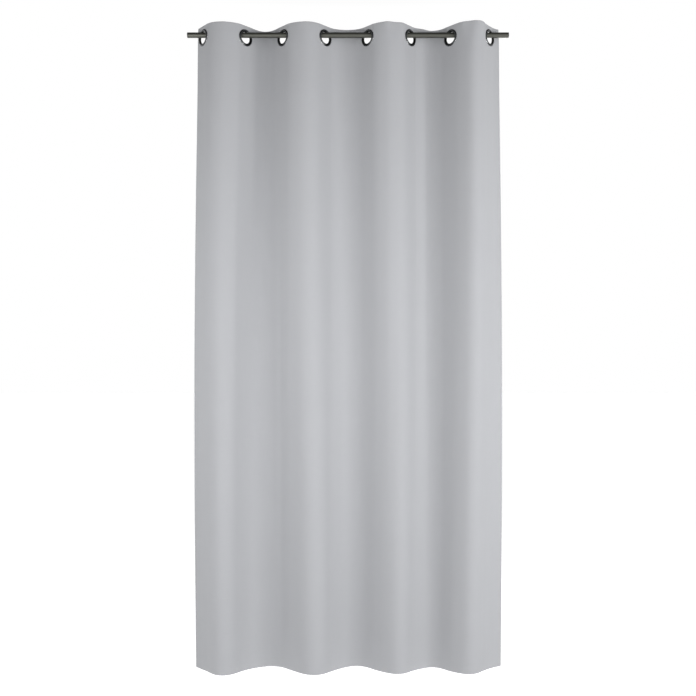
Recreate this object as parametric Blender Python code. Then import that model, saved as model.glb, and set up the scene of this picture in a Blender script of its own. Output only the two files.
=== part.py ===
"""Eyelet curtain panel hanging in waves on a tubular rod.

Metres, +Z up. The origin is the middle of the rod's axis, +X runs along the rod and
-Y faces the room. The cloth is held as one chain of folds. Every fold carries one
eyelet, and neighbouring folds meet at a hinge line on the inner side of a crest.
"""
from math import cos, degrees, pi, radians, sin, tan

import bmesh
import bpy
import numpy as np
from mathutils import Matrix, Vector

# ---------------------------------------------------------------- cloth
PANEL_WIDTH = 1.400            # flat width of the finished panel
PANEL_DROP = 2.450             # top edge to bottom edge
CLOTH_THICKNESS = 0.0008       # one layer of cloth
LAYER_GAP = 0.0003             # clearance between layers that lie on each other
HEADER_DEPTH = 0.100           # turned-down header behind the eyelets
HEADER_REVEAL = 0.0040         # how far the stiffening tape stays below the top edge
BOTTOM_HEM_DEPTH = 0.080       # turned-up hem at the foot of the panel
SIDE_HEM_WIDTH = 0.014         # turned-in hem down each side edge
TOP_MARGIN = 0.0460            # eyelet centres to the top edge
LEFT_MARGIN = 0.038            # flat, side edge to first eyelet centre
RIGHT_MARGIN = 0.057           # flat, last eyelet centre to side edge

# ---------------------------------------------------------------- waves
EYELET_ANGLES = (50, 46, 46, 45, 46, 46, 48, 49)         # cloth to rod, degrees
CREST_ROUNDNESS = (0.0, 1.9, 0.4, 0.0, 0.15, 0.9, 1.35)  # 0 is a broad crest, 1 is even
LEFT_EDGE_ANGLE = 50           # cloth to rod at the left side edge, degrees
RIGHT_EDGE_ANGLE = 4           # cloth to rod at the right side edge, degrees
HINGE_GAP = 0.0003             # clearance between two folds at their crest

# ---------------------------------------------------------------- eyelets
EYELET_HOLE_RADIUS = 0.0210
EYELET_OUTER_RADIUS = 0.0315
EYELET_BARREL_WALL = 0.0030
EYELET_DOME = 0.0030           # how far a ring stands proud of the header
EYELET_RIM = 0.0010            # thickness of a ring at its outer edge
EYELET_FLARE = 0.0014          # how much wider a hole is at its mouth than at its throat
BARREL_CLEARANCE = 0.0005      # round the barrel, in the holes of the header
RING_SEGMENTS = 24

# ---------------------------------------------------------------- rod
ROD_RADIUS = 0.0100
ROD_WALL = 0.0012
ROD_SEGMENTS = 32
ROD_PAST_FIRST_EYELET = 0.0610
ROD_PAST_LAST_EYELET = 0.0735
PLUG_FLANGE = 0.0020
PLUG_DEPTH = 0.0180
PLUG_CLEARANCE = 0.0003
HANG_CLEARANCE = 0.0003        # rod to the lips of the eyelets that hang on it

# ---------------------------------------------------------------- care label
LABEL_WIDTH = 0.025
LABEL_HEIGHT = 0.045
LABEL_THICKNESS = 0.0005
LABEL_INSET = 0.004            # label's edge to the side edge
LABEL_ABOVE_HEM = 0.060

# ---------------------------------------------------------------- worked out
FOLD_COUNT = len(EYELET_ANGLES)
EYELET_SPACING = (PANEL_WIDTH - LEFT_MARGIN - RIGHT_MARGIN) / (FOLD_COUNT - 1)
LAYER_PITCH = CLOTH_THICKNESS + LAYER_GAP
HEADER_HALF = 1.5 * CLOTH_THICKNESS + LAYER_GAP
RING_SEAT = HEADER_HALF + LAYER_GAP
THROAT = (EYELET_HOLE_RADIUS, HEADER_HALF / 2)
MOUTH = (EYELET_HOLE_RADIUS + EYELET_FLARE, RING_SEAT + EYELET_DOME / 2)
LABEL_SPAN = (PANEL_WIDTH - LABEL_INSET - LABEL_WIDTH, PANEL_WIDTH - LABEL_INSET)
SEAMS = (SIDE_HEM_WIDTH, PANEL_WIDTH - SIDE_HEM_WIDTH, *LABEL_SPAN)
CURVE_STEPS = 240              # fine steps of the wave line between two eyelets
FACETS_PER_FOLD = 10           # facets of the cloth's bend between two eyelets


def eyelet_drop():
    """How far the eyelets' centres hang below the rod's axis, with the rod clear of their lips."""
    around = np.linspace(0, pi / 2, 91)
    crossing = radians(min(EYELET_ANGLES))
    room = []
    for radius, height in (THROAT, MOUTH):
        reach = radius * cos(pi / RING_SEGMENTS) - HANG_CLEARANCE
        across = height / tan(crossing) + ROD_RADIUS * np.sin(around) / sin(crossing)
        room.append((np.sqrt(reach ** 2 - across ** 2) - ROD_RADIUS * np.cos(around)).min())
    return float(min(room))


EYELET_Z = -eyelet_drop()
TOP_Z = EYELET_Z + TOP_MARGIN
BOTTOM_Z = TOP_Z - PANEL_DROP


class WaveLine:
    """The panel seen from above: a line of fixed length through all the eyelets."""

    def __init__(self):
        self.length = []
        self.heading = []
        self._margin_left()
        for index in range(FOLD_COUNT - 1):
            self._fold(index)
        self._margin_right()
        self.length = np.array(self.length)
        self.heading = np.array(self.heading)
        middle = (self.heading[1:] + self.heading[:-1]) / 2
        step = np.diff(self.length)
        self.x = np.concatenate([[0], np.cumsum(step * np.cos(middle))])
        self.y = np.concatenate([[0], np.cumsum(step * np.sin(middle))])
        first = self.eyelet_length(0)
        spread = self.read(self.x, self.eyelet_length(FOLD_COUNT - 1)) - self.read(self.x, first)
        self.rod_length = ROD_PAST_FIRST_EYELET + spread + ROD_PAST_LAST_EYELET
        self.x += ROD_PAST_FIRST_EYELET - self.rod_length / 2 - self.read(self.x, first)
        self.y -= self.read(self.y, first)

    def read(self, values, length):
        return float(np.interp(length, self.length, values))

    def _append(self, lengths, headings):
        self.length.extend(lengths)
        self.heading.extend(headings)

    def _margin_left(self):
        lengths = np.linspace(0, LEFT_MARGIN, 60, endpoint=False)
        bend = np.clip((LEFT_MARGIN - EYELET_OUTER_RADIUS - lengths) / LEFT_MARGIN, 0, 1)
        turn = radians(EYELET_ANGLES[0] - LEFT_EDGE_ANGLE)
        self._append(lengths, turn * bend - radians(EYELET_ANGLES[0]))

    def _margin_right(self):
        start = self.eyelet_length(FOLD_COUNT - 1)
        lengths = np.linspace(0, RIGHT_MARGIN, 61)
        bend = np.clip((lengths - EYELET_OUTER_RADIUS) / (RIGHT_MARGIN - EYELET_OUTER_RADIUS), 0, 1)
        turn = radians(EYELET_ANGLES[-1] - RIGHT_EDGE_ANGLE)
        side = self.side(FOLD_COUNT - 1)
        self._append(start + lengths, side * (radians(EYELET_ANGLES[-1]) - turn * bend))

    def _fold(self, index):
        """Headings from one eyelet to the next, closing on the rod's line."""
        start_angle = radians(EYELET_ANGLES[index])
        end_angle = radians(EYELET_ANGLES[index + 1])
        lengths = np.linspace(0, EYELET_SPACING, CURVE_STEPS, endpoint=False)
        middles = lengths + EYELET_SPACING / CURVE_STEPS / 2
        even = CREST_ROUNDNESS[index] * (start_angle + end_angle) / 2
        cubic = (start_angle + end_angle) / 2 - even

        def angles(at, skew):
            bend = EYELET_SPACING - 2 * EYELET_OUTER_RADIUS
            t = np.clip(1 - 2 * (at - EYELET_OUTER_RADIUS) / bend, -1, 1)
            level = (start_angle - end_angle) / 2 - skew
            return level + even * t + skew * t ** 2 + cubic * t ** 3

        low, high = -1.5, 1.5
        for _ in range(50):
            skew = (low + high) / 2
            if np.sin(angles(middles, skew)).sum() < 0:
                high = skew
            else:
                low = skew
        self._append(self.eyelet_length(index) + lengths, self.side(index) * angles(lengths, skew))

    @staticmethod
    def side(index):
        """-1 where the fold after this eyelet bulges to the room, +1 to the window."""
        return -1 if index % 2 == 0 else 1

    @staticmethod
    def eyelet_length(index):
        """Flat distance from the left edge to an eyelet."""
        return LEFT_MARGIN + index * EYELET_SPACING

    def point(self, length, offset=0.0):
        """A point beside the line, offset towards the window."""
        heading = self.read(self.heading, length)
        return Vector((self.read(self.x, length) - offset * sin(heading),
                       self.read(self.y, length) + offset * cos(heading)))

    def crest_length(self, index):
        """Flat distance to the hinge line between an eyelet and the next."""
        inner = -self.side(index) * HEADER_HALF
        middle = (self.point(self.eyelet_length(index)).x
                  + self.point(self.eyelet_length(index + 1)).x) / 2
        low, high = self.eyelet_length(index), self.eyelet_length(index + 1)
        for _ in range(50):
            length = (low + high) / 2
            if self.point(length, inner).x < middle:
                low = length
            else:
                high = length
        return length

    def hinge(self, index):
        """The hinge line between an eyelet and the next, on the crest's inner side."""
        return self.point(self.crest_length(index), -self.side(index) * HEADER_HALF)

    def fold_span(self, index):
        """Flat distances between which one fold's cloth lies."""
        start = 0.0 if index == 0 else self.crest_length(index - 1) + HINGE_GAP / 2
        end = PANEL_WIDTH if index == FOLD_COUNT - 1 else self.crest_length(index) - HINGE_GAP / 2
        return start, end

    def stations(self, start, end):
        """Facet edges that all layers share: round the bends and at the seams."""
        bend = (EYELET_SPACING - 2 * EYELET_OUTER_RADIUS) / FACETS_PER_FOLD
        found = set(SEAMS)
        for index in range(FOLD_COUNT):
            centre = self.eyelet_length(index)
            for side in (-1, 1):
                for count in range(FACETS_PER_FOLD // 2):
                    found.add(centre + side * (EYELET_OUTER_RADIUS + count * bend))
        inside = [s for s in found if start + LAYER_GAP < s < end - LAYER_GAP]
        return [start] + sorted(inside) + [end]


def clear_scene():
    """Remove every object the new file starts with."""
    for found in list(bpy.data.objects):
        bpy.data.objects.remove(found, do_unlink=True)


def make_material(name, colour, roughness, metallic=0.0):
    """A plain surface of one colour."""
    material = bpy.data.materials.new(name)
    material.use_nodes = True
    shader = material.node_tree.nodes["Principled BSDF"]
    shader.inputs["Base Color"].default_value = (*colour, 1.0)
    shader.inputs["Roughness"].default_value = roughness
    shader.inputs["Metallic"].default_value = metallic
    return material


def add_object(name, bm, material, smooth_angle=None):
    """Turn a bmesh into a named object with one material."""
    bmesh.ops.recalc_face_normals(bm, faces=bm.faces)
    mesh = bpy.data.meshes.new(name)
    bm.to_mesh(mesh)
    bm.free()
    mesh.materials.append(material)
    if smooth_angle is not None:
        mesh.shade_smooth()
        mesh.set_sharp_from_angle(angle=radians(smooth_angle))
    found = bpy.data.objects.new(name, mesh)
    bpy.context.collection.objects.link(found)
    return found


def add_strip(name, line, span, layer, heights, material):
    """A strip of cloth that follows the wave line between two flat distances."""
    near, far = layer
    low, high = heights
    bm = bmesh.new()
    rows = []
    for length in line.stations(*span):
        rows.append([bm.verts.new((*line.point(length, offset), low)) for offset in (near, far)])
    for before, after in zip(rows, rows[1:]):
        bm.faces.new((before[0], after[0], after[1], before[1]))
    raised = bmesh.ops.extrude_face_region(bm, geom=bm.faces[:])["geom"]
    corners = [part for part in raised if isinstance(part, bmesh.types.BMVert)]
    bmesh.ops.translate(bm, verts=corners, vec=(0, 0, high - low))
    return add_object(name, bm, material, smooth_angle=40)


def eyelet_matrix(line, index):
    """Places a shape turned about +Z in the middle of an eyelet, facing the window."""
    length = line.eyelet_length(index)
    heading = line.side(index) * radians(EYELET_ANGLES[index])
    place = Matrix.Translation((*line.point(length), EYELET_Z))
    return place @ Matrix.Rotation(heading, 4, "Z") @ Matrix.Rotation(-pi / 2, 4, "X")


def cut_eyelet_hole(strip, line, index):
    """Punch the hole that an eyelet's barrel passes through."""
    bm = bmesh.new()
    radius = EYELET_HOLE_RADIUS + EYELET_BARREL_WALL + BARREL_CLEARANCE
    bmesh.ops.create_cone(bm, cap_ends=True, segments=RING_SEGMENTS, radius1=radius,
                          radius2=radius, depth=8 * HEADER_HALF,
                          matrix=eyelet_matrix(line, index))
    punch = add_object("punch", bm, strip.data.materials[0])
    cut = strip.modifiers.new("eyelet hole", "BOOLEAN")
    cut.operation = "DIFFERENCE"
    cut.object = punch
    bpy.context.view_layer.update()
    cut_mesh = bpy.data.meshes.new_from_object(strip.evaluated_get(bpy.context.evaluated_depsgraph_get()))
    strip.modifiers.remove(cut)
    strip.data = cut_mesh
    bpy.data.objects.remove(punch, do_unlink=True)


def turn_profile(bm, profile, segments):
    """Turn a closed outline of (radius, height) points about +Z."""
    corners = [bm.verts.new((radius, 0, height)) for radius, height in profile]
    edges = [bm.edges.new((a, b)) for a, b in zip(corners, corners[1:] + corners[:1])]
    bmesh.ops.spin(bm, geom=corners + edges, cent=(0, 0, 0), axis=(0, 0, 1),
                   angle=2 * pi, steps=segments, use_merge=True)


def add_eyelet_half(name, line, index, facing, material):
    """One half of a snap eyelet: a domed ring with a barrel that meets the other half."""
    barrel = EYELET_HOLE_RADIUS + EYELET_BARREL_WALL
    profile = [
        (EYELET_HOLE_RADIUS, LAYER_GAP / 2),
        (barrel, LAYER_GAP / 2),
        (barrel, RING_SEAT),
        (EYELET_OUTER_RADIUS, RING_SEAT),
        (EYELET_OUTER_RADIUS - EYELET_RIM / 2, RING_SEAT + EYELET_RIM),
        ((barrel + EYELET_OUTER_RADIUS) / 2, RING_SEAT + EYELET_DOME),
        MOUTH,
        THROAT,
    ]
    bm = bmesh.new()
    turn_profile(bm, profile, RING_SEGMENTS)
    if facing < 0:
        bmesh.ops.rotate(bm, verts=bm.verts[:], cent=(0, 0, 0),
                         matrix=Matrix.Rotation(pi, 3, "X"))
    bmesh.ops.transform(bm, matrix=eyelet_matrix(line, index), verts=bm.verts[:])
    return add_object(name, bm, material, smooth_angle=60)


def add_rod(line, finish):
    """The tube that the eyelets hang on."""
    inner = ROD_RADIUS - ROD_WALL
    half = line.rod_length / 2 - PLUG_FLANGE
    bm = bmesh.new()
    turn_profile(bm, [(inner, -half), (ROD_RADIUS, -half), (ROD_RADIUS, half), (inner, half)], ROD_SEGMENTS)
    bmesh.ops.rotate(bm, verts=bm.verts[:], cent=(0, 0, 0), matrix=Matrix.Rotation(pi / 2, 3, "Y"))
    add_object("rod_tube", bm, finish, smooth_angle=40)


def add_rod_plug(name, line, end, finish):
    """A flat cap with a spigot that closes one end of the rod."""
    spigot = ROD_RADIUS - ROD_WALL - PLUG_CLEARANCE
    face = line.rod_length / 2
    under = face - PLUG_FLANGE + PLUG_CLEARANCE
    bm = bmesh.new()
    disc = bmesh.ops.create_circle(bm, cap_ends=True, segments=ROD_SEGMENTS, radius=spigot)["verts"]
    bmesh.ops.translate(bm, verts=disc, vec=(0, 0, face - PLUG_DEPTH))
    spigot_face = disc[0].link_faces[0]
    wall = bmesh.ops.extrude_face_region(bm, geom=[spigot_face])["geom"]
    top = [part for part in wall if isinstance(part, bmesh.types.BMFace)][0]
    bmesh.ops.translate(bm, verts=top.verts[:], vec=(0, 0, PLUG_DEPTH + under - face))
    ledge = bmesh.ops.extrude_face_region(bm, geom=[top])["geom"]
    rim = [part for part in ledge if isinstance(part, bmesh.types.BMFace)][0]
    bmesh.ops.scale(bm, verts=rim.verts[:], vec=(ROD_RADIUS / spigot, ROD_RADIUS / spigot, 1))
    cap = bmesh.ops.extrude_face_region(bm, geom=[rim])["geom"]
    outer = [part for part in cap if isinstance(part, bmesh.types.BMFace)][0]
    bmesh.ops.translate(bm, verts=outer.verts[:], vec=(0, 0, face - under))
    bmesh.ops.delete(bm, geom=[part for part in (top, rim) if part.is_valid], context="FACES_ONLY")
    bmesh.ops.rotate(bm, verts=bm.verts[:], cent=(0, 0, 0),
                     matrix=Matrix.Rotation(end * pi / 2, 3, "Y"))
    add_object(name, bm, finish, smooth_angle=40)


def add_header(line, index, span, cloth, tape):
    """The turned-down header and its stiffening tape, behind the face cloth."""
    half = CLOTH_THICKNESS / 2
    tape_heights = (TOP_Z - HEADER_DEPTH, TOP_Z - HEADER_REVEAL)
    stiffener = add_strip(f"header_tape_{index + 1}", line, span, (-half, half), tape_heights, tape)
    turned = add_strip(f"header_fold_{index + 1}", line, span, (LAYER_PITCH - half, LAYER_PITCH + half),
                       (TOP_Z - HEADER_DEPTH, TOP_Z), cloth)
    cut_eyelet_hole(stiffener, line, index)
    cut_eyelet_hole(turned, line, index)


def add_side_hem(name, line, span, cloth):
    """A turned-in side hem, between the header and the bottom hem."""
    half = CLOTH_THICKNESS / 2
    heights = (BOTTOM_Z + BOTTOM_HEM_DEPTH + LAYER_GAP, TOP_Z - HEADER_DEPTH - LAYER_GAP)
    add_strip(name, line, span, (-half, half), heights, cloth)


def add_care_label(line, finish):
    """A blank label on the back of the right side hem."""
    back = CLOTH_THICKNESS / 2 + LAYER_GAP
    low = BOTTOM_Z + BOTTOM_HEM_DEPTH + LABEL_ABOVE_HEM
    add_strip("care_label", line, LABEL_SPAN, (back, back + LABEL_THICKNESS),
              (low, low + LABEL_HEIGHT), finish)


def add_fold(line, index, cloth, tape, gunmetal):
    """One fold of the panel with its share of header, bottom hem and one eyelet."""
    span = line.fold_span(index)
    half = CLOTH_THICKNESS / 2
    number = index + 1
    face = add_strip(f"face_cloth_{number}", line, span, (-LAYER_PITCH - half, -LAYER_PITCH + half),
                     (BOTTOM_Z, TOP_Z), cloth)
    cut_eyelet_hole(face, line, index)
    add_header(line, index, span, cloth, tape)
    add_strip(f"bottom_hem_{number}", line, span, (-half, half),
              (BOTTOM_Z, BOTTOM_Z + BOTTOM_HEM_DEPTH), cloth)
    add_eyelet_half(f"eyelet_front_{number}", line, index, -1, gunmetal)
    add_eyelet_half(f"eyelet_back_{number}", line, index, 1, gunmetal)


def print_layout(line):
    """The places that the joints and mounts need."""
    print(f"rod length {line.rod_length:.4f}, eyelets at z {EYELET_Z:.4f}")
    print(f"cloth from z {BOTTOM_Z:.4f} to {TOP_Z:.4f}")
    for index in range(FOLD_COUNT):
        centre = line.point(line.eyelet_length(index))
        print(f"eyelet {index + 1}: x {centre.x:.6f} y {centre.y:.6f}")
    for index in range(FOLD_COUNT - 1):
        hinge = line.hinge(index)
        turn = degrees(line.read(line.heading, line.crest_length(index)))
        print(f"hinge {index + 1}-{index + 2}: x {hinge.x:.6f} y {hinge.y:.6f} heading {turn:.2f}")


def main():
    clear_scene()
    cloth = make_material("grey cloth", (0.50, 0.50, 0.53), 0.9)
    tape = make_material("header tape", (0.62, 0.62, 0.62), 0.9)
    gunmetal = make_material("gunmetal eyelet", (0.10, 0.10, 0.11), 0.25, 1.0)
    steel = make_material("satin rod", (0.13, 0.13, 0.12), 0.35, 1.0)
    plug = make_material("rod end plug", (0.04, 0.04, 0.04), 0.5)
    paper = make_material("label tape", (0.85, 0.85, 0.83), 0.8)
    line = WaveLine()
    add_rod(line, steel)
    add_rod_plug("rod_end_plug_left", line, -1, plug)
    add_rod_plug("rod_end_plug_right", line, 1, plug)
    for index in range(FOLD_COUNT):
        add_fold(line, index, cloth, tape, gunmetal)
    add_side_hem("side_hem_left", line, (0, SIDE_HEM_WIDTH), cloth)
    add_side_hem("side_hem_right", line, (PANEL_WIDTH - SIDE_HEM_WIDTH, PANEL_WIDTH), cloth)
    add_care_label(line, paper)
    print_layout(line)


main()
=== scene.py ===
"""A grey eyelet curtain panel on its rod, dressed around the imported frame.

The cloth is hung the way a curtain maker hangs it: cut flat, folded at the header and
the hems, then bent along one wave line whose length never changes.
"""
import logging
from dataclasses import dataclass, field
from enum import Enum
from math import atan2, cos, pi, radians, sin
from typing import Any, Callable, Iterable, Sequence

import bmesh
import bpy
import numpy as np
from mathutils import Matrix, Vector


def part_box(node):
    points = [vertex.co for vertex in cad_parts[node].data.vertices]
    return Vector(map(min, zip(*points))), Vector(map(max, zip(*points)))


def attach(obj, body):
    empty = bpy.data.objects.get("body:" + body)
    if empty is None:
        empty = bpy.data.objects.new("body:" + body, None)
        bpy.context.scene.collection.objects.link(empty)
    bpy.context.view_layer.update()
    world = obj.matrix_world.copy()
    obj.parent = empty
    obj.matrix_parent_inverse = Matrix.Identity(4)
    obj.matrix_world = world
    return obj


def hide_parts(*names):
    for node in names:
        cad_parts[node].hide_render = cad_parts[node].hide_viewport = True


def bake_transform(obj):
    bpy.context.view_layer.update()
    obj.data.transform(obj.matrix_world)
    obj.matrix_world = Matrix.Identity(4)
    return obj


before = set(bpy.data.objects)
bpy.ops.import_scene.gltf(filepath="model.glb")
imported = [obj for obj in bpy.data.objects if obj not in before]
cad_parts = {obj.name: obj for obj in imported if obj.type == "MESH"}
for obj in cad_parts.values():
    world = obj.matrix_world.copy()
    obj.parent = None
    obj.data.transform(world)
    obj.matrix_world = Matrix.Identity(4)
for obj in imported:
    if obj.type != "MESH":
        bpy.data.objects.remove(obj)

log = logging.getLogger("curtain")

Colour = tuple[float, float, float, float]

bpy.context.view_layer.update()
MILLIMETRE = 0.001
SAME_PLACE = 1e-6
PINCH_SPAN = 0.14          # share of a half fold over which a pinched crest turns
EASE = 0.10                # share of a half fold that eases into the straight beside a ring
FOLD_STEPS = 240           # steps along a fold while it is closed
CLOSING_ROUNDS = 30
CLOSED_ENOUGH = 1e-8
TRIAL_NUDGE = 1e-5
LARGEST_NUDGE = 0.4
LINE_STEP = 0.001          # step along the wave line
SEARCH_REACH = 0.07        # flat distance searched on both sides of a known place
CURVE_POWER = 1.35         # how late the lower shape takes over down the drop
CURVE_LEAD = 0.6


# ------------------------------------------------------------------ shader bench
class Shade:
    """One output of a node, worked with as if it were a number."""

    def __init__(self, bench: "Bench", socket: bpy.types.NodeSocket) -> None:
        """Wrap a socket of the bench's node tree."""
        self.bench = bench
        self.socket = socket

    def _math(self, operation: str, first: Any, second: Any) -> "Shade":
        """Add a Math node.

        Args:
            operation: The Math node's operation.
            first: Its first value or link.
            second: Its second value or link.

        Returns:
            The node's result.
        """
        return self.bench.add("ShaderNodeMath", {"operation": operation}, {0: first, 1: second})

    def __add__(self, other: Any) -> "Shade":
        """Sum."""
        return self._math("ADD", self, other)

    __radd__ = __add__

    def __sub__(self, other: Any) -> "Shade":
        """Difference."""
        return self._math("SUBTRACT", self, other)

    def __rsub__(self, other: Any) -> "Shade":
        """Difference from a number."""
        return self._math("SUBTRACT", other, self)

    def __mul__(self, other: Any) -> "Shade":
        """Product."""
        return self._math("MULTIPLY", self, other)

    __rmul__ = __mul__

    def sine(self) -> "Shade":
        """Sine of an angle in radians."""
        return self._math("SINE", self, 0.0)


class Bench:
    """A material's node tree and the one method that adds nodes to it."""

    def __init__(self, name: str) -> None:
        """Start a material with one Principled shader."""
        self.material = bpy.data.materials.new(name)
        self.material.use_nodes = True
        self.tree = self.material.node_tree
        self.surface = self.tree.nodes["Principled BSDF"]

    def add(self, kind: str, settings: dict[str, Any], values: dict[Any, Any],
            output: int | str = 0) -> Shade:
        """Add a node.

        Args:
            kind: The node's type.
            settings: Attributes set before its sockets.
            values: Socket to value, or to the Shade that feeds it.
            output: Which output is wanted.

        Returns:
            The wanted output.
        """
        node = self.tree.nodes.new(kind)
        for key, value in settings.items():
            setattr(node, key, value)
        for key, value in values.items():
            self.feed(node.inputs[key], value)
        return Shade(self, node.outputs[output])

    def feed(self, socket: bpy.types.NodeSocket, value: Any) -> None:
        """Link or set one socket."""
        if isinstance(value, Shade):
            self.tree.links.new(value.socket, socket)
        else:
            socket.default_value = value

    def dress(self, **values: Any) -> bpy.types.Material:
        """Set the shader's sockets by name, with _ for a space.

        Returns:
            The finished material.
        """
        for key, value in values.items():
            self.feed(self.surface.inputs[key.replace("_", " ")], value)
        return self.material

    def blend(self, amount: Any, first: Any, second: Any) -> Shade:
        """Mix two colours by an amount."""
        return self.add("ShaderNodeMix", {"data_type": "RGBA"},
                        {"Factor": amount, 6: first, 7: second}, 2)

    def noise(self, where: Shade, scale: float, detail: float = 2.0,
              roughness: float = 0.5) -> Shade:
        """Soft noise about 0.5."""
        return self.add("ShaderNodeTexNoise", {},
                        {"Vector": where, "Scale": scale, "Detail": detail,
                         "Roughness": roughness})

    def stretched(self, where: Shade, scale: tuple[float, float, float]) -> Shade:
        """The same places, scaled along each axis."""
        return self.add("ShaderNodeMapping", {}, {"Vector": where, "Scale": scale})

    def span(self, value: Shade, low: float, high: float, start: float = 0.0,
             end: float = 1.0) -> Shade:
        """Map a value from one range to another, held at both ends."""
        return self.add("ShaderNodeMapRange", {"clamp": True},
                        {"Value": value, "From Min": low, "From Max": high,
                         "To Min": start, "To Max": end})

    def bump(self, height: Shade, depth: float, strength: float = 1.0) -> Shade:
        """A surface normal from a height."""
        return self.add("ShaderNodeBump", {},
                        {"Height": height, "Distance": depth, "Strength": strength})

    def object_places(self) -> Shade:
        """Places in the object's own coordinates."""
        return self.add("ShaderNodeTexCoord", {}, {}, "Object")

    def cloth_places(self) -> Shade:
        """Places on the flat cloth, in metres, from its own UV map."""
        return self.add("ShaderNodeUVMap", {"uv_map": "flat"}, {})


def grey(level: float, warmth: float = 0.0) -> Colour:
    """A near-neutral colour.

    Args:
        level: Brightness, linear.
        warmth: Share by which red is raised and blue lowered.

    Returns:
        A colour with full alpha.
    """
    return (level * (1 + warmth), level, level * (1 - warmth), 1.0)


def two_tones(level: float, tint: tuple[float, float, float], spread_by: float) -> list[Colour]:
    """A deep and a pale tone of one tinted colour.

    Args:
        level: Brightness between the two, linear.
        tint: Share of each of red, green and blue.
        spread_by: How far each tone lies from the level, as a share of it.

    Returns:
        The deep tone, then the pale one.
    """
    return [(*(level * share * part for part in tint), 1.0)
            for share in (1 - spread_by, 1 + spread_by)]


# ------------------------------------------------------------------ finishes
@dataclass(frozen=True)
class WovenCloth:
    """Matt dim-out cloth: a fine weave with slubs and a slight melange."""

    name: str = "grey_woven_cloth"
    level: float = 0.318
    tint: tuple[float, float, float] = (0.986, 1.0, 1.042)
    tone_range: float = 0.25
    threads_per_metre: float = 1100.0
    slub_contrast: float = 0.030
    cloud_contrast: float = 0.035
    weave_depth: float = 0.00010
    warp_slub: tuple[float, float, float] = (900.0, 16.0, 1.0)
    weft_slub: tuple[float, float, float] = (14.0, 800.0, 1.0)
    cloud: float = 7.0
    fleck: float = 1500.0
    roughness: float = 0.93
    sheen: float = 0.12

    def build(self) -> bpy.types.Material:
        """Make the cloth's material."""
        bench = Bench(self.name)
        where = bench.cloth_places()
        parts = bench.add("ShaderNodeSeparateXYZ", {}, {0: where}, "X")
        along = Shade(bench, parts.socket.node.outputs["Y"])
        turn = 2 * pi * self.threads_per_metre
        warp = (parts * turn).sine() * 0.5 + 0.5
        weft = (along * turn).sine() * 0.5 + 0.5
        weave = warp * weft + (1.0 - warp) * (1.0 - weft)
        warp_slub = bench.noise(bench.stretched(where, self.warp_slub), 1.0, 3.0, 0.6)
        weft_slub = bench.noise(bench.stretched(where, self.weft_slub), 1.0, 3.0, 0.6)
        cloud = bench.noise(where, self.cloud, 4.0, 0.6)
        fleck = bench.noise(where, self.fleck, 1.0)
        tone = (1.0 + (warp_slub - 0.5) * self.slub_contrast * 2
                + (weft_slub - 0.5) * self.slub_contrast * 2
                + (cloud - 0.5) * self.cloud_contrast
                + (fleck - 0.5) * self.slub_contrast
                + (weave - 0.5) * self.slub_contrast)
        deep, pale = two_tones(self.level, self.tint, self.tone_range)
        colour = bench.blend(bench.span(tone, 1 - self.tone_range, 1 + self.tone_range), deep, pale)
        height = weave * 0.6 + warp_slub * 0.7 + weft_slub * 0.7
        return bench.dress(Base_Color=colour, Roughness=self.roughness,
                           Sheen_Weight=self.sheen, Sheen_Roughness=0.5,
                           Specular_IOR_Level=0.25,
                           Normal=bench.bump(height, self.weave_depth, 0.6))


@dataclass(frozen=True)
class HeaderTape:
    """Stiff non-woven tape, seen only between the layers of the header."""

    name: str = "header_tape_fleece"
    level: float = 0.60

    def build(self) -> bpy.types.Material:
        """Make the tape's material."""
        bench = Bench(self.name)
        where = bench.cloth_places()
        fibre = bench.noise(where, 700.0, 5.0, 0.7)
        colour = bench.blend(fibre, grey(self.level * 0.88), grey(self.level * 1.08))
        return bench.dress(Base_Color=colour, Roughness=0.95,
                           Normal=bench.bump(fibre, 0.0001, 0.5))


@dataclass(frozen=True)
class SewingThread:
    """Thread that matches the cloth, with its twist."""

    name: str = "sewing_thread"
    level: float = 0.43

    def build(self) -> bpy.types.Material:
        """Make the thread's material."""
        bench = Bench(self.name)
        where = bench.object_places()
        twist = bench.noise(where, 2500.0, 2.0)
        colour = bench.blend(twist, grey(self.level * 0.85, -0.02), grey(self.level * 1.2, -0.02))
        return bench.dress(Base_Color=colour, Roughness=0.7, Sheen_Weight=0.2,
                           Normal=bench.bump(twist, 0.00005, 0.6))


@dataclass(frozen=True)
class Gunmetal:
    """Plated metal with fine handling marks, dark for the eyelets' body and lighter for their
    beads' painted highlight.
    """

    name: str
    level: float
    roughness: float
    lacquer: float
    warmth: float = -0.10

    def build(self) -> bpy.types.Material:
        """Make the plating's material."""
        bench = Bench(self.name)
        where = bench.object_places()
        haze = bench.noise(where, 120.0, 4.0, 0.6)
        scuff = bench.noise(bench.stretched(where, (400.0, 400.0, 1800.0)), 1.0, 2.0)
        worn = bench.span(scuff, 0.62, 0.80)
        plated = bench.blend(haze, grey(self.level * 0.8, self.warmth),
                             grey(self.level * 1.2, self.warmth))
        colour = bench.blend(worn * 0.25, plated, grey(self.level * 3.0, 0.02))
        rough = bench.span(haze, 0.3, 0.7, self.roughness * 0.8, self.roughness * 1.25)
        return bench.dress(Base_Color=colour, Metallic=1.0, Roughness=rough + worn * 0.08,
                           Coat_Weight=self.lacquer, Coat_Roughness=0.06,
                           Normal=bench.bump(haze, 0.00005, 0.15))


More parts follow.
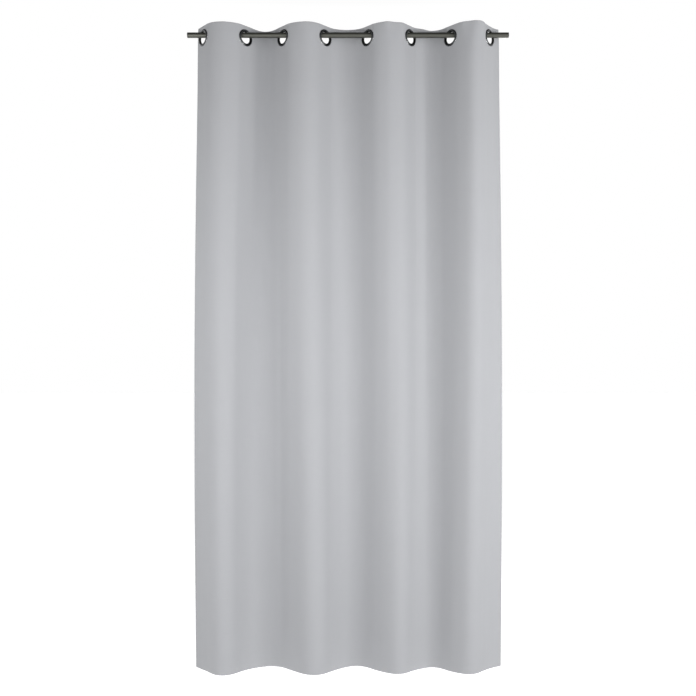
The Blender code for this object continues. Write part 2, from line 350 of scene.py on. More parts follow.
@dataclass(frozen=True)
class SatinTube:
    """Dark satin steel, drawn lengthways."""

    name: str = "satin_rod_steel"
    level: float = 0.092
    tint: tuple[float, float, float] = (1.0, 1.01, 0.88)
    roughness: float = 0.36
    draw_marks: tuple[float, float, float] = (6.0, 1400.0, 1400.0)

    def build(self) -> bpy.types.Material:
        """Make the rod's material."""
        bench = Bench(self.name)
        where = bench.object_places()
        drawn = bench.noise(bench.stretched(where, self.draw_marks), 1.0, 3.0, 0.6)
        cloud = bench.noise(where, 14.0, 4.0, 0.55)
        deep, pale = two_tones(self.level, self.tint, 0.20)
        colour = bench.blend(drawn * 0.6 + cloud * 0.4, deep, pale)
        rough = bench.span(cloud + drawn, 0.6, 1.4, self.roughness * 0.85, self.roughness * 1.2)
        return bench.dress(Base_Color=colour, Metallic=0.85, Roughness=rough,
                           Normal=bench.bump(drawn, 0.00004, 0.25))


@dataclass(frozen=True)
class MouldedPlug:
    """Black moulded plastic with a fine spark texture."""

    name: str = "black_plug_plastic"
    level: float = 0.022

    def build(self) -> bpy.types.Material:
        """Make the plug's material."""
        bench = Bench(self.name)
        where = bench.object_places()
        grain = bench.noise(where, 2200.0, 2.0)
        cloud = bench.noise(where, 90.0, 3.0)
        colour = bench.blend(cloud, grey(self.level * 0.8), grey(self.level * 1.4))
        return bench.dress(Base_Color=colour, Roughness=bench.span(grain, 0.3, 0.7, 0.45, 0.62),
                           Normal=bench.bump(grain, 0.00006, 0.3))


@dataclass(frozen=True)
class SatinLabel:
    """White satin label tape with a selvedge rib."""

    name: str = "label_satin"
    level: float = 0.58

    def build(self) -> bpy.types.Material:
        """Make the label's material."""
        bench = Bench(self.name)
        where = bench.cloth_places()
        rib = bench.noise(bench.stretched(where, (60.0, 2600.0, 1.0)), 1.0, 2.0)
        cloud = bench.noise(where, 60.0, 3.0)
        colour = bench.blend(rib * 0.5 + cloud * 0.5, grey(self.level * 0.92, 0.01),
                             grey(self.level * 1.05, 0.01))
        return bench.dress(Base_Color=colour, Roughness=0.55, Sheen_Weight=0.3,
                           Normal=bench.bump(rib, 0.00005, 0.5))


@dataclass(frozen=True)
class StudioPaper:
    """Pale seamless paper under and behind the panel."""

    name: str = "studio_paper"
    level: float = 0.80
    glow: float = 0.80

    def build(self) -> bpy.types.Material:
        """Make the paper's material."""
        bench = Bench(self.name)
        cloud = bench.noise(bench.object_places(), 1.5, 2.0)
        colour = bench.blend(cloud, grey(self.level * 0.99), grey(self.level))
        return bench.dress(Base_Color=colour, Roughness=0.9, Specular_IOR_Level=0.1,
                           Emission_Color=grey(1.0), Emission_Strength=self.glow)


# ------------------------------------------------------------------ wave line
def soft_clip(t: np.ndarray) -> np.ndarray:
    """Hold values between -1 and 1, easing into both limits.

    Args:
        t: The values to hold.

    Returns:
        The held values.
    """
    size = np.abs(t)
    eased = 1 - (1 + EASE - size) ** 2 / (4 * EASE)
    held = np.where(size < 1 - EASE, size, np.where(size > 1 + EASE, 1.0, eased))
    return np.sign(t) * held


@dataclass(frozen=True)
class WaveShape:
    """How the cloth stands at one height, seen from above.

    The cloth crosses the middle line at its nodes, alternately heading to the room and
    to the window.
    """

    nodes: tuple[float, ...]       # along the rod
    lengths: tuple[float, ...]     # flat distance from the left edge to each node
    angles: tuple[float, ...]      # cloth to rod at each node, degrees
    inner: tuple[tuple[float, float, float], ...]    # at each fold's quarter points, degrees
    pinches: tuple[float, ...]     # how sharply each crest turns, degrees
    straight: float                # flat length kept straight beside a node
    width: float                   # the whole flat width
    left_edge: float               # cloth to rod at the left edge, degrees
    right_edge: float              # cloth to rod at the right edge, degrees

    def headings(self, at: np.ndarray) -> np.ndarray:
        """Which way the cloth heads at each flat distance.

        Args:
            at: Flat distances from the left edge, rising.

        Returns:
            Angles from the rod's direction, in radians.
        """
        found = np.zeros_like(at)
        last = len(self.nodes) - 1
        found[at < self.lengths[0]] = -self._margin(at, self.lengths[0], 0.0, self.angles[0],
                                                    self.left_edge)[at < self.lengths[0]]
        for index in range(last):
            side = -1 if index % 2 == 0 else 1
            inside = (at >= self.lengths[index]) & (at < self.lengths[index + 1])
            found[inside] = side * self._fold(index, at[inside])
        side = -1 if last % 2 == 0 else 1
        tail = at >= self.lengths[last]
        found[tail] = side * self._margin(at, self.lengths[last], self.width, self.angles[last],
                                          self.right_edge)[tail]
        return found

    def _margin(self, at: np.ndarray, node: float, edge: float, angle: float,
                edge_angle: float) -> np.ndarray:
        """Headings between an outer node and its side edge."""
        free = max(abs(edge - node) - self.straight, MILLIMETRE)
        share = np.clip((np.abs(at - node) - self.straight) / free, 0, 1)
        return np.radians(angle + (edge_angle - angle) * share)

    def _fold(self, index: int, at: np.ndarray) -> np.ndarray:
        """Headings of one fold, closed so that it ends at the next node."""
        length = self.lengths[index + 1] - self.lengths[index]
        pitch = self.nodes[index + 1] - self.nodes[index]
        start, end = radians(self.angles[index]), radians(self.angles[index + 1])
        steps = np.linspace(0, length, FOLD_STEPS + 1)
        middles = (steps[1:] + steps[:-1]) / 2
        solved = np.zeros(2)
        for _ in range(CLOSING_ROUNDS):
            miss = self._miss(index, middles, start, end, solved, length, pitch)
            if np.abs(miss).max() < CLOSED_ENOUGH:
                break
            trials = [self._miss(index, middles, start, end, solved + shift, length, pitch)
                      for shift in np.eye(2) * TRIAL_NUDGE]
            slope = np.array([(trial - miss) / TRIAL_NUDGE for trial in trials]).T
            change = np.linalg.lstsq(slope, -miss, rcond=None)[0]
            solved = solved + np.clip(change, -LARGEST_NUDGE, LARGEST_NUDGE)
        return self._angle(index, at - self.lengths[index], start, end, solved, length)

    def _angle(self, index: int, at: np.ndarray, start: float, end: float,
               solved: np.ndarray, length: float) -> np.ndarray:
        """A fold's heading: a smooth line through its five angles, then closed."""
        roundness, skew = solved
        bend = length - 2 * self.straight
        t = soft_clip(1 - 2 * (at - self.straight) / bend)
        angles = (start, *(radians(angle) for angle in self.inner[index]), -end)
        smooth = np.polyval(np.polyfit((1, 0.5, 0, -0.5, -1), angles, 4), t)
        pinch = radians(self.pinches[index]) * (np.tanh(t / PINCH_SPAN) - t)
        return smooth + pinch + roundness * (t - t ** 3) + skew * (1 - t ** 2)

    def _miss(self, index: int, at: np.ndarray, start: float, end: float,
              solved: np.ndarray, length: float, pitch: float) -> np.ndarray:
        """How far a trial fold ends from the next node, along and across the rod."""
        angles = self._angle(index, at, start, end, solved, length)
        step = length / len(at)
        return np.array([np.cos(angles).sum() * step - pitch, np.sin(angles).sum() * step])


@dataclass(frozen=True)
class Crease:
    """A small local turn of the cloth; one with positive degrees bulges to the room."""

    place: float      # flat distance from the left edge
    height: float
    width: float
    drop: float       # how far it reaches up and down
    degrees: float


@dataclass
class Drape:
    """The hung cloth: a wave line for every height, each as long as the cloth is wide.

    The line's own middle is held at the mean of its nodes, so every height hangs true.
    """

    upper: WaveShape
    lower: WaveShape
    top: float
    bottom: float
    header: float
    creases: tuple[Crease, ...] = ()
    _cache: dict[float, tuple[np.ndarray, ...]] = field(default_factory=dict)

    def __post_init__(self) -> None:
        """Work out both shapes once."""
        count = int(round(self.upper.width / LINE_STEP)) + 1
        self.flat = np.linspace(0, self.upper.width, count)
        self.upper_headings = self.upper.headings(self.flat)
        self.lower_headings = self.lower.headings(self.flat)

    def _share(self, z: float) -> float:
        """How much of the lower shape shows at a height."""
        t = np.clip((self.top - self.header - z) / (self.top - self.header - self.bottom), 0, 1)
        return float(t ** CURVE_POWER * (1 + CURVE_LEAD - CURVE_LEAD * t))

    def line(self, z: float) -> tuple[np.ndarray, np.ndarray, np.ndarray]:
        """The wave line at a height.

        Args:
            z: Height in the frame.

        Returns:
            x, y and heading at each of the flat distances.
        """
        key = round(z, 6)
        if key not in self._cache:
            share = self._share(z)
            heading = (1 - share) * self.upper_headings + share * self.lower_headings
            heading = heading + self._soft_creases(z)
            middle = (heading[1:] + heading[:-1]) / 2
            x = np.concatenate([[0], np.cumsum(np.cos(middle))]) * LINE_STEP
            y = np.concatenate([[0], np.cumsum(np.sin(middle))]) * LINE_STEP
            nodes = ((1 - share) * np.array(self.upper.lengths)
                     + share * np.array(self.lower.lengths))
            hang = ((1 - share) * float(np.mean(self.upper.nodes))
                    + share * float(np.mean(self.lower.nodes)))
            x = x + hang - np.mean(np.interp(nodes, self.flat, x))
            y = y - np.mean(np.interp(nodes, self.flat, y))
            self._cache[key] = (x, y, heading)
        return self._cache[key]

    def _soft_creases(self, z: float) -> np.ndarray:
        """All the creases' turns of the heading at a height."""
        turn = np.zeros_like(self.flat)
        for crease in self.creases:
            across = (self.flat - crease.place) / crease.width
            down = (z - crease.height) / crease.drop
            falloff = np.exp(0.5 - across ** 2 / 2 - down ** 2 / 2)
            turn += radians(crease.degrees) * across * falloff
        return turn

    def flat_at(self, x: float, z: float, near: float) -> float:
        """The flat distance at which the cloth stands at an x, beside a known one."""
        line_x = self.line(z)[0]
        nearby = np.abs(self.flat - near) < SEARCH_REACH
        return float(np.interp(x, line_x[nearby], self.flat[nearby]))

    def place(self, flat: np.ndarray, z: float, offset: np.ndarray | float) -> np.ndarray:
        """Points of the cloth at one height.

        Args:
            flat: Flat distances from the left edge.
            z: Height in the frame.
            offset: Distance beside the wave line, to the window.

        Returns:
            An array of x, y, z rows.
        """
        x, y, heading = (np.interp(flat, self.flat, values) for values in self.line(z))
        return np.stack([x - offset * np.sin(heading), y + offset * np.cos(heading),
                         np.full_like(x, z)], axis=1)


# ------------------------------------------------------------------ cloth
@dataclass
class ClothSizes:
    """Sizes of the sewn panel, in metres."""

    width: float = 1.400
    drop: float = 2.450
    left_margin: float = 0.038
    right_margin: float = 0.057
    header: float = 0.100
    bottom_hem: float = 0.080
    side_hem: float = 0.014
    thickness: float = 0.0007
    header_half: float = 0.0014
    hem_gap: float = 0.0003
    clearance: float = 0.0004
    hole: float = 0.0248
    rim_reach: float = 1.3
    tape_half: float = 0.00035
    tape_top_gap: float = 0.0040
    tape_foot_gap: float = 0.0010
    coarse_row: float = 0.0090
    fine_row: float = 0.0036
    fine_reach: float = 0.020
    hem_row: float = 0.00576
    column: float = 0.0026
    join_column: float = 0.0003
    turn_steps: int = 6
    ring_reach: float = 0.0345
    stitch_pitch: float = 0.0040
    stitch_inset: float = 0.0030
    stitch_length: float = 0.0015
    stitch_thickness: float = 0.00022
    label_width: float = 0.025
    label_inset: float = 0.004
    label_thickness: float = 0.00025
    label_bulge: float = 0.0012

    @property
    def hem_back(self) -> float:
        """How far behind the wave line a turned hem's back lies."""
        return -self.header_half + 2 * self.thickness + self.hem_gap


def finish_mesh(bm: bmesh.types.BMesh, name: str, materials: Sequence[bpy.types.Material],
                sharp: float = 35.0) -> bpy.types.Object:
    """Turn a bmesh into a smooth-shaded object at the origin.

    Args:
        bm: The mesh; it is freed.
        name: The piece's name.
        materials: Its materials, in slot order.
        sharp: Edges over this many degrees stay sharp.

    Returns:
        The new object.
    """
    mesh = bpy.data.meshes.new(name)
    bm.to_mesh(mesh)
    bm.free()
    for material in materials:
        mesh.materials.append(material)
    mesh.shade_smooth()
    mesh.set_sharp_from_angle(angle=radians(sharp))
    piece = bpy.data.objects.new(name, mesh)
    bpy.context.scene.collection.objects.link(piece)
    return piece


def spread(start: float, end: float, step: float) -> list[float]:
    """Even stations from start to end, both included, about a step apart."""
    count = max(1, int(round(abs(end - start) / step)))
    return [start + (end - start) * index / count for index in range(count + 1)]


@dataclass
class EyeletPlace:
    """Where one eyelet sits in the frame."""

    number: int
    centre: Vector
    heading: float

    def matrix(self) -> Matrix:
        """Turns a shape made about +Z into the eyelet's place, +Z to the window."""
        return (Matrix.Translation(self.centre) @ Matrix.Rotation(self.heading, 4, "Z")
                @ Matrix.Rotation(-pi / 2, 4, "X"))


class EyeletRow:
    """All the eyelets, read from the frame."""

    def __init__(self, angles: Sequence[float]) -> None:
        """Find each eyelet's centre between its two halves."""
        self.places: list[EyeletPlace] = []
        for number, angle in enumerate(angles, 1):
            corners = [Vector(corner) for half in ("front", "back")
                       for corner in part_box(f"eyelet_{half}_{number}")]
            centre = sum(corners, Vector()) / len(corners)
            side = -1 if number % 2 else 1
            self.places.append(EyeletPlace(number, centre, side * radians(angle)))


class ClothPanel:
    """The panel's cloth, cut flat and hung in pieces that meet under the eyelets."""

    def __init__(self, sizes: ClothSizes, drape: Drape, eyelets: EyeletRow) -> None:
        """Keep the sizes and the finishes of the panel."""
        self.sizes = sizes
        self.drape = drape
        self.eyelets = eyelets
        self.cloth = WovenCloth().build()
        self.tape = HeaderTape().build()
        self.thread = SewingThread().build()
        self.label = SatinLabel().build()

    # -- rows: the way of the cloth from the header's lower edge round to the hem's top
    def _rows(self) -> list[tuple[float, float, float]]:
        """Rows down the panel's outer face.

        Returns:
            (flat place, height, offset) for each row, the flat place falling.
        """
        s = self.sizes
        top, bottom = self.drape.top, self.drape.bottom
        half = s.header_half
        rows: list[tuple[float, float, float]] = []
        for z in spread(top - s.header, top - half, s.fine_row):
            rows.append((top + (top - z), z, half))
        for index in range(1, s.turn_steps):
            share = index / s.turn_steps
            rows.append((top + half * (1 - 2 * share), top - half + half * sin(pi * share),
                         half * cos(pi * share)))
        radius = s.thickness + s.hem_gap / 2
        header_rows = spread(top - half, top - s.header - s.fine_reach, s.fine_row)
        hem_top = bottom + s.bottom_hem
        middle_rows = spread(header_rows[-1], hem_top + s.fine_reach, s.coarse_row)[1:]
        hem_rows = spread(middle_rows[-1], bottom + radius, s.hem_row)[1:]
        for z in header_rows + middle_rows + hem_rows:
            rows.append((z, z, -half))
        for index in range(1, s.turn_steps):
            share = index / s.turn_steps
            rows.append((bottom + radius * (1 - 2 * share),
                         bottom + radius - radius * sin(pi * share),
                         -half + radius * (1 - cos(pi * share))))
        for z in spread(bottom + radius, hem_top, s.hem_row):
            rows.append((bottom - (z - bottom), z, -half + 2 * radius))
        return rows

    def _seam(self, index: int, z: float) -> float:
        """Flat distance of the join under an eyelet, or of a side edge."""
        last = len(self.eyelets.places)
        if index <= 0:
            return 0.0
        if index >= last - 1:
            return self.sizes.width
        place = self.eyelets.places[index]
        return self.drape.flat_at(place.centre.x, z, self.drape.upper.lengths[index])

    def _columns(self, index: int) -> list[float]:
        """Shares across a piece, with a narrow column at each join."""
        width = self._seam(index, self.drape.top) - self._seam(index - 1, self.drape.top)
        edge = self.sizes.join_column / width
        inner = spread(edge, 1 - edge, self.sizes.column / width)
        return [0.0] + inner + [1.0]

    def _sheet(self, rows: Sequence[tuple[float, float, float]], columns: Sequence[float],
               ends: Callable[[float], tuple[float, float]], thickness: float,
               holes: bool) -> bmesh.types.BMesh:
        """Cut a sheet flat, punch it, hang it and give it thickness.

        Args:
            rows: (flat place, height, offset) of each row.
            columns: Shares across the sheet.
            ends: The flat distances of its two sides at a height.
            thickness: Thickness, added on the inner side.
            holes: Whether it is punched for the eyelets.

        Returns:
            The hung sheet.
        """
        bm = bmesh.new()
        across, down = len(columns) - 1, len(rows) - 1
        bmesh.ops.create_grid(bm, x_segments=across, y_segments=down, size=0.5)
        bm.verts.ensure_lookup_table()
        grid = np.array([vert.co for vert in bm.verts])
        column = np.rint((grid[:, 0] + 0.5) * across).astype(int)
        row = np.rint((0.5 - grid[:, 1]) * down).astype(int)
        sides = np.array([ends(z) for _, z, _ in rows])
        shares = np.array(columns)[column]
        flat = sides[row, 0] + (sides[row, 1] - sides[row, 0]) * shares
        heights = np.array([z for _, z, _ in rows])[row]
        cut = np.array([place for place, _, _ in rows])[row]
        offsets = np.array([w for _, _, w in rows])[row]
        if holes:
            flat, heights, doomed = self._punch(bm, flat, heights)
        places = self._hang(flat, heights, offsets, row)
        layer = bm.loops.layers.uv.new("flat")
        for vert, place in zip(bm.verts, places):
            vert.co = place
        for face in bm.faces:
            for loop in face.loops:
                loop[layer].uv = (flat[loop.vert.index], cut[loop.vert.index])
        if holes:
            bmesh.ops.delete(bm, geom=[bm.verts[i] for i in doomed], context="VERTS")
        bm.normal_update()
        bmesh.ops.solidify(bm, geom=bm.faces[:], thickness=thickness)
        return bm

    def _punch(self, bm: bmesh.types.BMesh, flat: np.ndarray,
               heights: np.ndarray) -> tuple[np.ndarray, np.ndarray, list[int]]:
        """Find what an eyelet's hole removes, and round off what is left at its edge."""
        radius = self.sizes.hole
        doomed: set[int] = set()
        flat, heights = flat.copy(), heights.copy()
        for place, length in zip(self.eyelets.places, self.drape.upper.lengths):
            away_x, away_z = flat - length, heights - place.centre.z
            distance = np.hypot(away_x, away_z)
            inside = set(np.nonzero(distance < radius)[0].tolist())
            doomed |= inside
            rim = {edge.other_vert(bm.verts[i]).index for i in inside
                   for edge in bm.verts[i].link_edges} - inside
            for i in rim:
                if distance[i] < radius * self.sizes.rim_reach:
                    scale = radius / distance[i]
                    on_seam = abs(away_x[i]) < SAME_PLACE
                    flat[i] = length if on_seam else length + away_x[i] * scale
                    heights[i] = place.centre.z + away_z[i] * scale
        return flat, heights, sorted(doomed)

    def _hang(self, flat: np.ndarray, heights: np.ndarray, offsets: np.ndarray,
              row: np.ndarray) -> np.ndarray:
        """Places of cut points on the hung cloth."""
        places = np.zeros((len(flat), 3))
        for number in range(row.max() + 1):
            chosen = np.nonzero(row == number)[0]
            for z in np.unique(np.round(heights[chosen], 6)):
                some = chosen[np.abs(heights[chosen] - z) < SAME_PLACE]
                places[some] = self.drape.place(flat[some], float(z), offsets[some])
        return places

    def _join(self, piece: bpy.types.Object) -> None:
        """Bake a piece's place into its mesh."""
        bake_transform(piece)

    def build(self) -> None:
        """Make every piece of the panel."""
        count = len(self.eyelets.places) - 1
        for index in range(1, count + 1):
            cloth = self._build_cloth(index)
            tape = self._build_tape(index)
            stitches = self._build_stitches(index)
            if index == 1:
                self._build_side_hem("side_hem_turned_left", left=True)
            if index == count:
                self._build_side_hem("side_hem_turned_right", left=False)
                self._build_label()
            self._declare(cloth, index)

    def _nodes_of(self, index: int, stems: Iterable[str]) -> list[str]:
        """The frame's nodes that a piece stands for."""
        numbers = [index]
        if index == len(self.eyelets.places) - 1:
            numbers.append(index + 1)
        return [f"{stem}_{number}" for number in numbers for stem in stems]

    def _declare(self, cloth: bpy.types.Object, index: int) -> None:
        """Log a piece's flat width."""
        s = self.sizes
        width = self._seam(index, self.drape.top) - self._seam(index - 1, self.drape.top)
        s.drop + s.header + s.bottom_hem
        log.info("%s: %.3f m of flat width", cloth.name, width)

    def _build_cloth(self, index: int) -> bpy.types.Object:
        """The cloth between two eyelets, header and hem folded."""
        bm = self._sheet(self._rows(), self._columns(index),
                         lambda z: (self._seam(index - 1, z), self._seam(index, z)),
                         self.sizes.thickness, holes=True)
        piece = finish_mesh(bm, f"cloth_wave_{index}", [self.cloth], 50.0)
        self._join(piece)
        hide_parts(*self._nodes_of(index, ("face_cloth", "header_fold", "bottom_hem")))
        return piece

    def _build_tape(self, index: int) -> bpy.types.Object:
        """The stiffening tape inside the header."""
        s = self.sizes
        top = self.drape.top
        half = s.tape_half
        rows = [(z, z, -half) for z in spread(top - s.tape_top_gap,
                                              top - s.header + s.tape_foot_gap, s.fine_row)]
        bm = self._sheet(rows, self._columns(index),
                         lambda z: (self._seam(index - 1, z), self._seam(index, z)),
                         2 * half, holes=True)
        piece = finish_mesh(bm, f"tape_wave_{index}", [self.tape], 50.0)
        self._join(piece)
        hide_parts(*self._nodes_of(index, ("header_tape",)))
        return piece

    def _build_side_hem(self, name: str, left: bool) -> bpy.types.Object:
        """A turned-in side hem behind the cloth's edge."""
        s = self.sizes
        low = self.drape.bottom + s.bottom_hem + s.clearance
        high = self.drape.top - s.header - s.clearance
        rows = [(z, z, s.hem_back) for z in spread(low, high, s.coarse_row)]
        near, far = (0.0, s.side_hem) if left else (s.width - s.side_hem, s.width)
        bm = self._sheet(rows, spread(0, 1, 0.25), lambda z: (near, far), s.thickness, holes=False)
        piece = finish_mesh(bm, name, [self.cloth], 50.0)
        self._join(piece)
        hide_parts("side_hem_left" if left else "side_hem_right")
        return piece

    def _stitch_lines(self, index: int) -> list[tuple[float, float, float, bool]]:
        """Places of all stitches of a piece: (flat, height, offset, upright)."""
        s = self.sizes
        found: list[tuple[float, float, float, bool]] = []
        top, bottom = self.drape.top, self.drape.bottom
        inset = s.stitch_inset
        levels = ((top - s.header + inset, s.header_half), (top - inset, s.header_half),
                  (bottom + s.bottom_hem - inset, s.hem_back))
        for z, offset in levels:
            near, far = self._seam(index - 1, z) + inset, self._seam(index, z) - inset
            found += [(flat, z, offset, False) for flat in spread(near, far, s.stitch_pitch)]
        last = len(self.eyelets.places) - 1
        for number, flat in ((1, s.side_hem - 0.002), (last, s.width - s.side_hem + 0.002)):
            if index == number:
                heights = spread(bottom + s.bottom_hem + s.stitch_pitch,
                                 top - s.header - s.stitch_pitch, s.stitch_pitch)
                found += [(flat, z, s.hem_back, True) for z in heights]
        return found

    def _build_stitches(self, index: int) -> bpy.types.Object:
        """Rows of single stitches on the back of the header and hems."""
        length, thick = self.sizes.stitch_length, self.sizes.stitch_thickness
        bm = bmesh.new()
        for flat, z, offset, upright in self._stitch_lines(index):
            here, ahead = (Vector(self.drape.place(np.array([at]), z, offset)[0])
                           for at in (flat, flat + 0.0002))
            turn = Matrix.Rotation(atan2(ahead.y - here.y, ahead.x - here.x), 4, "Z")
            stand = Matrix.Rotation(pi / 2, 4, "Y") if upright else Matrix.Identity(4)
            shape = Matrix.Diagonal((length, thick, thick, 1))
            bmesh.ops.create_icosphere(bm, subdivisions=1, radius=1,
                                       matrix=Matrix.Translation(here) @ turn @ stand @ shape)
        piece = finish_mesh(bm, f"stitches_{index}", [self.thread], 80.0)
        self._join(piece)
        return piece

    def _build_label(self) -> bpy.types.Object:
        """A blank care label sewn to the back of the right side hem."""
        s = self.sizes
        low, high = (corner[2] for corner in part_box("care_label"))
        behind = s.hem_back + s.clearance
        rows = []
        for z in spread(low, high, 0.0015):
            share = (z - low) / (high - low)
            rows.append((z, z, behind + s.label_bulge * sin(pi * share) ** 2))
        far = s.width - s.label_inset
        near = far - s.label_width
        bm = self._sheet(rows, spread(0, 1, 0.05), lambda z: (near, far), s.label_thickness,
                         holes=False)
        piece = finish_mesh(bm, "care_label_blank", [self.label], 50.0)
        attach(piece, f"fold_{len(self.eyelets.places)}")
        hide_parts("care_label")
        return piece


# ------------------------------------------------------------------ eyelets
class Half(Enum):
    """The two halves of a snap eyelet."""

    FRONT = -1
    BACK = 1


@dataclass
class Eyelet:
    """A snap eyelet: a rolled throat, a domed face and a beaded rim, its lighter plating a painted
    highlight.
    """

    hole: float = 0.0210
    outer: float = 0.0315
    wall: float = 0.0030
    seat: float = 0.0016
    crown: float = 0.0048
    straight: float = 0.0007
    meet: float = 0.00015
    bead: float = 0.00045
    crest_shift: float = 0.0005
    throat_steps: int = 8
    dome_steps: int = 6
    bead_steps: int = 6
    steps: int = 96

    def profile(self) -> list[tuple[float, float]]:
        """The outline of a half, as (radius, height) points."""
        crest = (self.hole + self.outer) / 2 + self.crest_shift
        dome_foot = self.outer - 1.9 * self.bead
        points = [(self.hole, self.meet)]
        for index in range(self.throat_steps + 1):
            angle = pi / 2 * index / self.throat_steps
            points.append((crest - (crest - self.hole) * cos(angle),
                           self.straight + (self.crown - self.straight) * sin(angle)))
        drop = self.crown - self.seat - self.bead
        for index in range(1, self.dome_steps + 1):
            angle = pi / 2 * index / self.dome_steps
            points.append((crest + (dome_foot - crest) * sin(angle),
                           self.crown - drop * (1 - cos(angle))))
        centre = (self.outer - self.bead, self.seat + self.bead)
        for index in range(self.bead_steps + 1):
            angle = pi * (0.95 - 1.45 * index / self.bead_steps)
            points.append((centre[0] + self.bead * cos(angle), centre[1] + self.bead * sin(angle)))
        return points + [(self.hole + self.wall, self.seat), (self.hole + self.wall, self.meet)]

    def build(self, place: EyeletPlace, half: Half,
              materials: Sequence[bpy.types.Material]) -> bpy.types.Object:
        """Turn one half and set it in its place.

        Args:
            place: Where the eyelet sits.
            half: Which half to make.
            materials: Plating of the body, then the bead's lighter plating, a painted highlight.

        Returns:
            The finished half.
        """
        bm = bmesh.new()
        verts = [bm.verts.new((radius, 0, height)) for radius, height in self.profile()]
        edges = [bm.edges.new(pair) for pair in zip(verts, verts[1:] + verts[:1])]
        bmesh.ops.spin(bm, geom=verts + edges, cent=(0, 0, 0), axis=(0, 0, 1),
                       angle=2 * pi, steps=self.steps, use_merge=True)
        bmesh.ops.remove_doubles(bm, verts=bm.verts[:], dist=SAME_PLACE)
        # Faces on the bead's top take the second, lighter plating: a painted highlight round the
        # rim.
        for face in bm.faces:
            middle = face.calc_center_median()
            gets_painted_highlight = middle.xy.length > self.outer - 1.2 * self.bead
            if gets_painted_highlight and middle.z > self.seat + 0.0001:
                face.material_index = 1
        if half is Half.FRONT:
            bmesh.ops.rotate(bm, verts=bm.verts[:], cent=(0, 0, 0),
                             matrix=Matrix.Rotation(pi, 3, "X"))
        bmesh.ops.transform(bm, matrix=place.matrix(), verts=bm.verts[:])
        bmesh.ops.recalc_face_normals(bm, faces=bm.faces[:])
        side = half.name.lower()
        piece = finish_mesh(bm, f"ring_{side}_{place.number}", materials, 50.0)
        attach(piece, f"fold_{place.number}")
        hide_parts(f"eyelet_{side}_{place.number}")
        return piece


# ------------------------------------------------------------------ rod
@dataclass
class CurtainRod:
    """The tube and its two end plugs."""

    wall: float = 0.0012
    lip: float = 0.0006
    plug_round: float = 0.0010
    plug_flange: float = 0.0017
    plug_gap: float = 0.0003
    steps: int = 96

    def build(self) -> None:
        """Make the tube and both plugs from the frame's sizes."""
        low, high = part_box("rod_tube")
        radius = (high[2] - low[2]) / 2
        steel = SatinTube().build()
        plastic = MouldedPlug().build()
        self._build_tube(radius, low[0], high[0], steel)
        for side, end in (("left", -1), ("right", 1)):
            self._build_plug(side, end, radius, plastic)

    def _spin(self, points: Sequence[tuple[float, float]], closed: bool) -> bmesh.types.BMesh:
        """Turn (radius, x) points about the rod's axis."""
        bm = bmesh.new()
        verts = [bm.verts.new((x, 0, radius)) for radius, x in points]
        pairs = list(zip(verts, verts[1:]))
        if closed:
            pairs.append((verts[-1], verts[0]))
        edges = [bm.edges.new(pair) for pair in pairs]
        bmesh.ops.spin(bm, geom=verts + edges, cent=(0, 0, 0), axis=(1, 0, 0),
                       angle=2 * pi, steps=self.steps, use_merge=True)
        bmesh.ops.remove_doubles(bm, verts=bm.verts[:], dist=SAME_PLACE)
        bmesh.ops.recalc_face_normals(bm, faces=bm.faces[:])
        return bm

    def _build_tube(self, radius: float, left: float, right: float,
                    steel: bpy.types.Material) -> None:
        """The tube, its cut ends broken with a small chamfer."""
        inner = radius - self.wall
        edge = self.lip / 2
        along = spread(left + edge, right - edge, 0.05)
        points = [(inner, left + edge), (inner + edge, left), (radius - edge, left)]
        points += [(radius, x) for x in along]
        points += [(radius - edge, right), (inner + edge, right), (inner, right - edge)]
        piece = finish_mesh(self._spin(points, closed=True), "rod_tube_smooth", [steel], 40.0)
        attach(piece, "rod")
        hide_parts("rod_tube")
        log.info("rod: %.3f m long, %.1f mm across", right - left, 2 * radius / MILLIMETRE)

    def _build_plug(self, side: str, end: int, radius: float,
                    plastic: bpy.types.Material) -> None:
        """A round end plug with a rounded face and a spigot inside the tube."""
        low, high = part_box(f"rod_end_plug_{side}")
        face, deep = (low[0], high[0]) if end < 0 else (high[0], low[0])
        flange = face - end * self.plug_flange
        spigot = radius - self.wall - self.plug_gap
        rounding, shoulder = self.plug_round, radius - self.plug_round - 0.0001
        points = [(0.0, face - end * 0.0003), (radius * 0.45, face - end * 0.0002),
                  (radius * 0.62, face), (shoulder, face)]
        for index in range(1, 6):
            angle = pi / 2 * index / 5
            points.append((shoulder + rounding * sin(angle),
                           face - end * rounding * (1 - cos(angle))))
        points += [(radius - 0.0001, flange), (spigot, flange), (spigot, deep + end * 0.0008),
                   (spigot - 0.0008, deep), (0.0, deep)]
        piece = finish_mesh(self._spin(points, closed=False), f"rod_plug_{side}", [plastic], 40.0)
        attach(piece, "rod")
        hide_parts(f"rod_end_plug_{side}")


# ------------------------------------------------------------------ studio
@dataclass(frozen=True)
class SoftLight:
    """A soft rectangular light: its place, its aim, its width and height."""

    name: str
    place: tuple[float, float, float]
    aim: tuple[float, float, float]
    size: tuple[float, float]
    watts: float
    beam: float

    def build(self) -> None:
        """Set the light up, its beam in degrees."""
        lamp = bpy.data.lights.new(self.name, "AREA")
        lamp.shape = "RECTANGLE"
        lamp.size, lamp.size_y = self.size
        lamp.energy = self.watts
        lamp.spread = radians(self.beam)
        stand = bpy.data.objects.new(self.name, lamp)
        stand.location = self.place
        direction = Vector(self.aim) - Vector(self.place)
        stand.rotation_euler = direction.to_track_quat("-Z", "Y").to_euler()
        bpy.context.scene.collection.objects.link(stand)


